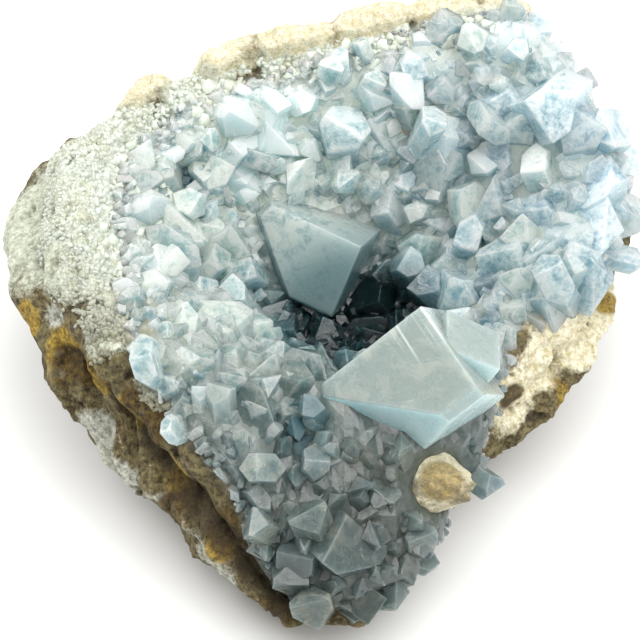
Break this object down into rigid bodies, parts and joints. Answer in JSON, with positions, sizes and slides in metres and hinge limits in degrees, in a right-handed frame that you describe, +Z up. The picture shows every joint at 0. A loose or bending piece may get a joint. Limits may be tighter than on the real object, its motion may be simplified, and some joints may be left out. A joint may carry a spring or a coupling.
{
  "type": "celestite geode",
  "caption": "Broken half of a hollow limestone nodule, lined with pale blue blocky crystals that run over its front slope; rests on a small flat spot.",
  "frame": {"origin": "on the small flat spot under the stone, below the middle of its outline", "axes": "+Z up; the stone's tip and low front edge point along -Y, and its rim is highest at the back, along +Y"},
  "size_m": [0.1215, 0.1214, 0.0676],
  "materials": {
    "limestone": "rough weathered limestone, ochre and grey, pitted and ledged",
    "celestite": "pale blue natural crystal faces, glossy, cloudy inside"
  },
  "bodies": {
    "root": {"stone_rind": "limestone", "crystal_crust": "celestite"}
  },
  "joints": []
}
